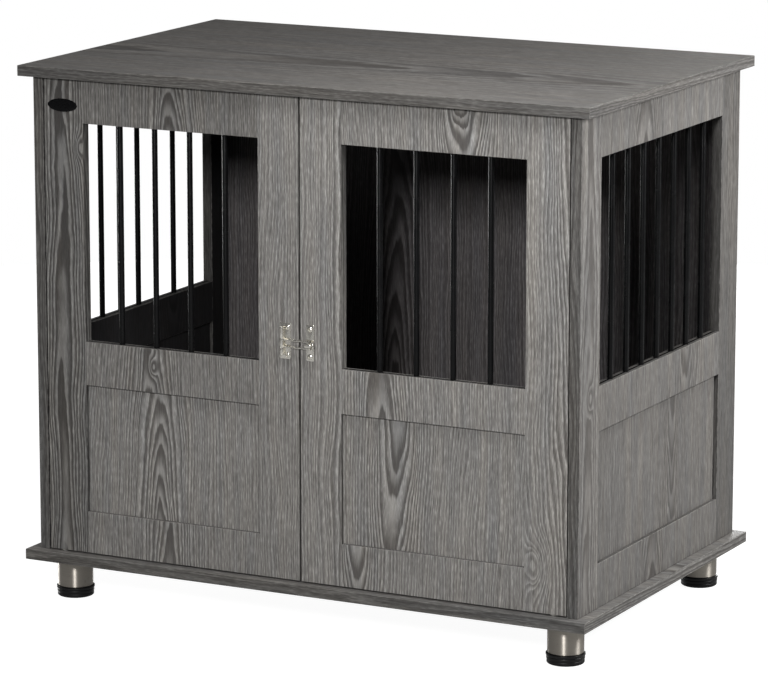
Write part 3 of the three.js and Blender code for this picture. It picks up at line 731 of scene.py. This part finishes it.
LATCH_MIDDLE = 409.5
PLATE = {"height": 50.0, "thickness": 1.6, "corner": 2.0, "edge": 0.45, "sunk": 0.4}
HINGE_PLATE = {"middle": -22.0, "width": 17.0, "screws": -18.0}
KEEPER_PLATE = {"middle": 16.5, "width": 12.0, "screws": 16.5}
BARREL = {"radius": 2.7, "bore": 1.35, "end_inset": 6.0}
WEB = {"half_width": 1.9, "edge": 0.2, "end_inset": 0.1}
LOOP = {"wire": 1.3, "spacing": 9.6, "start": 0.5, "reach": 50.0, "lip": 6.0, "lip_rise": 3.0}
LOOP_KNUCKLE = 13.0
KNUCKLE_GAP = 0.3
PIN = {"radius": 1.25, "head_radius": 2.0, "head": 0.8, "head_edge": 0.35, "gap": 0.2, "sides": 32}
POST = {"radius": 2.9, "bore": 1.58, "length": 4.4}
KNOB = {"width": 10.8, "height": 6.2, "thickness": 3.0, "corner": 3.09, "edge": 1.1, "gap": 0.9}
KNOB_SHAFT = {"radius": 1.5, "sunk": 1.0, "gap": 0.1, "sides": 24}
SCREW = {"radius": 4.0, "height": 2.2, "spacing": 38.0, "shank": 1.75, "length": 12.0, "sides": 24}
CROSS = {"length": 4.4, "width": 1.0, "depth": 1.1, "wall": 0.25}
TURNED_EDGE = 0.3
BARREL_SIDES = 40
NICKEL = paint(232, 229, 221)
NICKEL_DULL = paint(196, 192, 183)

loop_swing = next(joint for joint in frame["joints"] if joint["name"] == "latch_loop_swing")
barrel_x, barrel_y, loop_z = (value / MM for value in loop_swing["pos_m"])
plate_face = door_face - PLATE["thickness"]
screw_heights = [LATCH_MIDDLE + side * SCREW["spacing"] / 2 for side in (-1, 1)]


def bright_nickel(name):
    """Bright nickel plate: nearly a mirror, with faint swirls and a little tarnish."""
    finish = Finish(name, metallic=1.0)
    place = finish.place()
    tarnish = finish.mottle(place, 5, detail=4.0).ease(-0.05, 0.3)
    swirl = finish.mottle(place, 0.7, detail=2.0)
    finish.surface(base_color=finish.blend(tarnish * 0.5, NICKEL, NICKEL_DULL))
    finish.surface(roughness=0.24 + tarnish * 0.12 + swirl * 0.08)
    finish.bump(swirl, 0.02, strength=0.25)
    return finish


def tube_section(bore, radius, low, high):
    """The closed section of a short tube, from its bore round to its bore."""
    corners = [(bore, low), (radius, low), (radius, high), (bore, high)]
    return rounded(corners, TURNED_EDGE, closed=True)


def door_plate(plate):
    """One of the two plates on the doors' faces."""
    half = (plate["width"] / 2, PLATE["height"] / 2)
    outline = round_rectangle((plate["middle"], LATCH_MIDDLE), half, PLATE["corner"])
    return slab(outline, plate_face, door_face, PLATE["edge"], axis=Y)


def swept(path, radius, sides=20):
    """A round wire: a circle set square to the path at each of its points. The circle's first
    direction is square to the path and to the depth axis. Both ends close at a pole."""
    along = np.gradient(path, axis=0)
    along /= np.linalg.norm(along, axis=1, keepdims=True)
    first = np.cross(along, (0.0, 1.0, 0.0))
    first /= np.linalg.norm(first, axis=1, keepdims=True)
    second = np.cross(along, first)
    turn = np.linspace(0, 2 * np.pi, sides, endpoint=False)[None, :, None]
    circle = first[:, None] * np.cos(turn) + second[:, None] * np.sin(turn)
    poles = [np.broadcast_to(path[i], (1, sides, 3)) for i in (0, -1)]
    return np.concatenate([poles[0], path[:, None] + radius * circle, poles[1]])


def loop_path(steps=28):
    """Middle line of the loop's wire: out along the upper wire, round a half circle and back,
    with the end raised from the door in a smooth step as a finger grip."""
    half = LOOP["spacing"] / 2
    straight = np.linspace(LOOP["start"], LOOP["reach"] - half, steps)
    turn = np.linspace(0, np.pi, steps)[1:-1]
    out = np.concatenate([straight, LOOP["reach"] - half + half * np.sin(turn), straight[::-1]])
    up = np.concatenate([np.full(steps, half), half * np.cos(turn), np.full(steps, -half)])
    share = np.clip((out - LOOP["reach"]) / LOOP["lip"] + 1, 0, 1)
    lift = LOOP["lip_rise"] * share * share * (3 - 2 * share)
    return np.stack([barrel_x + out, barrel_y - lift, loop_z + up], axis=-1)


def screw_head(x, z, steps=40, sides=96):
    """A pan head: its height falls from the crown as a half ellipse, less a cross sunk in it."""
    share = np.linspace(0, 1, steps)[:, None]
    turn = np.linspace(0, 2 * np.pi, sides, endpoint=False)
    across = SCREW["radius"] * share * np.cos(turn)
    up = SCREW["radius"] * share * np.sin(turn)
    slim = np.minimum(np.abs(across), np.abs(up))
    long = np.maximum(np.abs(across), np.abs(up))
    inside = np.minimum(CROSS["width"] / 2 - slim, CROSS["length"] / 2 - long)
    sunk = CROSS["depth"] * np.clip(inside / CROSS["wall"] + 0.5, 0, 1)
    height = SCREW["height"] * np.sqrt(1 - share**2) - sunk
    head = np.stack([x + across, plate_face - height, z + up], axis=-1)
    pole = np.broadcast_to((x, plate_face, z), (1, sides, 3))
    return np.concatenate([head, pole])


def latch_screw(node, x, z, body):
    """A screw's head and its shank, whose point is left blunt inside the door."""
    shank = rod_section(SCREW["shank"], plate_face, plate_face + SCREW["length"], TURNED_EDGE)
    grids = [screw_head(x, z), turned(shank, (x, z), SCREW["sides"], axis=Y)]
    mesh_of(f"{node}_turned", grids, nickel, body, [node], slot="nickel")


def nickel_piece(node, body, grids):
    mesh_of(f"{node}_plated", grids, nickel, body, [node], slot="nickel")


nickel = bright_nickel("bright_nickel")
barrel_span = [LATCH_MIDDLE + side * (PLATE["height"] / 2 - BARREL["end_inset"]) for side in (-1, 1)]
loop_span = [loop_z + side * LOOP_KNUCKLE / 2 for side in (-1, 1)]
knuckle_spans = [
    (barrel_span[0], loop_span[0] - KNUCKLE_GAP),
    (loop_span[1] + KNUCKLE_GAP, barrel_span[1]),
]

web_front = barrel_y + BARREL["bore"]
web_back = plate_face + PLATE["sunk"]
web_middle = (barrel_x, (web_front + web_back) / 2)
web_outline = round_rectangle(web_middle, (WEB["half_width"], (web_back - web_front) / 2), WEB["edge"])
hinge_grids = [door_plate(HINGE_PLATE)]
for low, high in knuckle_spans:
    section = tube_section(BARREL["bore"], BARREL["radius"], low, high)
    web = slab(web_outline, low + WEB["end_inset"], high - WEB["end_inset"], WEB["edge"])
    hinge_grids += [turned(section, (barrel_x, barrel_y), BARREL_SIDES), web]
nickel_piece("latch_plate", "left_door", hinge_grids)

pin_low, pin_high = barrel_span[0] - PIN["gap"], barrel_span[1] + PIN["gap"]
pin_sections = [
    rod_section(PIN["radius"], pin_low, pin_high, TURNED_EDGE),
    rod_section(PIN["head_radius"], pin_low - PIN["head"], pin_low, PIN["head_edge"]),
    rod_section(PIN["head_radius"], pin_high, pin_high + PIN["head"], PIN["head_edge"]),
]
pin_grids = [turned(section, (barrel_x, barrel_y), PIN["sides"]) for section in pin_sections]
nickel_piece("latch_hinge_pin", "left_door", pin_grids)

loop_section = tube_section(BARREL["bore"], BARREL["radius"], *loop_span)
loop_knuckle = turned(loop_section, (barrel_x, barrel_y), BARREL_SIDES)
nickel_piece("latch_loop", "latch_loop", [loop_knuckle, swept(loop_path(), LOOP["wire"])])

keeper_axis = (KEEPER_PLATE["middle"], loop_z)
post_front = plate_face - POST["length"]
post_section = tube_section(POST["bore"], POST["radius"], post_front, plate_face + PLATE["sunk"])
keeper_grids = [door_plate(KEEPER_PLATE), turned(post_section, keeper_axis, BARREL_SIDES, axis=Y)]
nickel_piece("latch_keeper", "right_door", keeper_grids)

knob_back = post_front - KNOB["gap"]
knob_front = knob_back - KNOB["thickness"]
knob_half = (KNOB["width"] / 2, KNOB["height"] / 2)
knob_outline = round_rectangle(keeper_axis, knob_half, KNOB["corner"], steps=12)
shaft_front = knob_front + KNOB_SHAFT["sunk"]
shaft_back = plate_face - KNOB_SHAFT["gap"]
shaft_section = rod_section(KNOB_SHAFT["radius"], shaft_front, shaft_back, TURNED_EDGE)
knob_grids = [
    slab(knob_outline, knob_front, knob_back, KNOB["edge"], axis=Y, steps=8),
    turned(shaft_section, keeper_axis, KNOB_SHAFT["sides"], axis=Y),
]
nickel_piece("latch_knob", "latch_knob", knob_grids)

for place_name, height in zip(("lower", "upper"), screw_heights):
    latch_screw(f"latch_plate_{place_name}_screw", HINGE_PLATE["screws"], height, "left_door")
    latch_screw(f"latch_keeper_{place_name}_screw", KEEPER_PLATE["screws"], height, "right_door")

# Door catches: a black plastic magnetic catch under the top board behind each door, and the thin
# steel strike plate on the door's back that it holds.

for side in ("left_door", "right_door"):
    for node, body, edge, finish, slot in (
        (f"{side}_catch", "carcass", 1.2, black_plastic, "black_plastic"),
        (f"{side}_strike_plate", side, 0.3, zinc_steel, "plain_steel"),
    ):
        low, high = span(node)
        outline = round_rectangle((low + high)[[X, Z]] / 2, (high - low)[[X, Z]] / 2, edge)
        grid = slab(outline, low[Y], high[Y], edge, axis=Y)
        mesh_of(f"{node}_shaped", [grid], finish, body, [node], slot=slot)

# Studio: a pale round floor under a white backdrop, a camera with a long lens a little above the
# table and to its right, and soft lights. Floor and backdrop look bright to the camera, as in a
# cut-out picture, and dim in the table's gloss.

WHITE = (1.0, 1.0, 1.0, 1.0)
CAMERA = {"place": (2.678408, -5.221289, 1.578511), "right": 27.224, "down": 11.752, "lens": 198.67}
SENSOR_WIDTH = 36.0
FAR_CLIP = 100.0
FLOOR_GREY = paint(150, 150, 149)
FLOOR_RADIUS = 2.6
FLOOR_SIDES = 96
FLOOR_GLOW = {"camera": 0.95, "glossy": 0.26}
BACKDROP_GLOW = {"camera": 0.98, "glossy": 0.12}  # on top of the light that it gives
BACKDROP_LIGHT = 0.02
LOOK_AT = (0.0, -0.1, 0.4)


def glow(nodes, strengths):
    """The summed strengths of the kinds of ray that see a surface."""
    seen = nodes.node("LightPath", out="Is Camera Ray") * strengths["camera"]
    return seen + nodes.node("LightPath", out="Is Glossy Ray") * strengths["glossy"]


floor_angle = np.linspace(0, 2 * np.pi, FLOOR_SIDES, endpoint=False)
floor_rim = np.stack([np.cos(floor_angle), np.sin(floor_angle), 0 * floor_angle], axis=1)
floor_mesh = bpy.data.meshes.new("floor")
floor_mesh.from_pydata(floor_rim * FLOOR_RADIUS, [], [list(range(FLOOR_SIDES))])
floor = bpy.data.objects.new("floor", floor_mesh)
bpy.context.scene.collection.objects.link(floor)
floor_paint = Finish("floor_paint", base_color=FLOOR_GREY, specular_ior_level=0.0, roughness=0.8)
floor_paint.surface(emission_color=WHITE, emission_strength=glow(floor_paint, FLOOR_GLOW))
floor_mesh.materials.append(floor_paint.material)

lens = bpy.data.cameras.new("camera")
lens.sensor_width = SENSOR_WIDTH
lens.lens = CAMERA["lens"]
lens.clip_end = FAR_CLIP
camera = bpy.data.objects.new("camera", lens)
camera.location = CAMERA["place"]
camera.rotation_euler = (math.radians(90 - CAMERA["down"]), 0.0, math.radians(CAMERA["right"]))
bpy.context.scene.collection.objects.link(camera)
bpy.context.scene.camera = camera


def soft_light(name, place, size, watts):
    """A square light that points at the middle of the table and that the camera doesn't see."""
    lamp = bpy.data.lights.new(name, "AREA")
    lamp.size = size
    lamp.energy = watts
    light = bpy.data.objects.new(name, lamp)
    light.visible_camera = False
    light.location = place
    light.rotation_euler = (Vector(LOOK_AT) - light.location).to_track_quat("-Z", "Y").to_euler()
    bpy.context.scene.collection.objects.link(light)


soft_light("key", place=(1.042, -3.307, 1.661), size=0.5, watts=77)
soft_light("side", place=(1.7, 0.5, 1.2), size=0.5, watts=28)
soft_light("overhead", place=(0.85, -0.6, 1.95), size=0.6, watts=8.5)
soft_light("door_corner", place=(0.36, -0.62, 1.35), size=0.35, watts=3.8)
soft_light("behind", place=(-0.5, 3.2, 0.5), size=0.9, watts=48)
soft_light("left", place=(-3.1, 1.1, 0.5), size=0.9, watts=38)

world = bpy.data.worlds.new("studio")
world.use_nodes = True
backdrop = Nodes(world.node_tree)
background = world.node_tree.nodes["Background"]
backdrop.feed(background.inputs["Color"], WHITE)
backdrop.feed(background.inputs["Strength"], glow(backdrop, BACKDROP_GLOW) + BACKDROP_LIGHT)
bpy.context.scene.world = world
bpy.context.scene.view_settings.view_transform = "Standard"
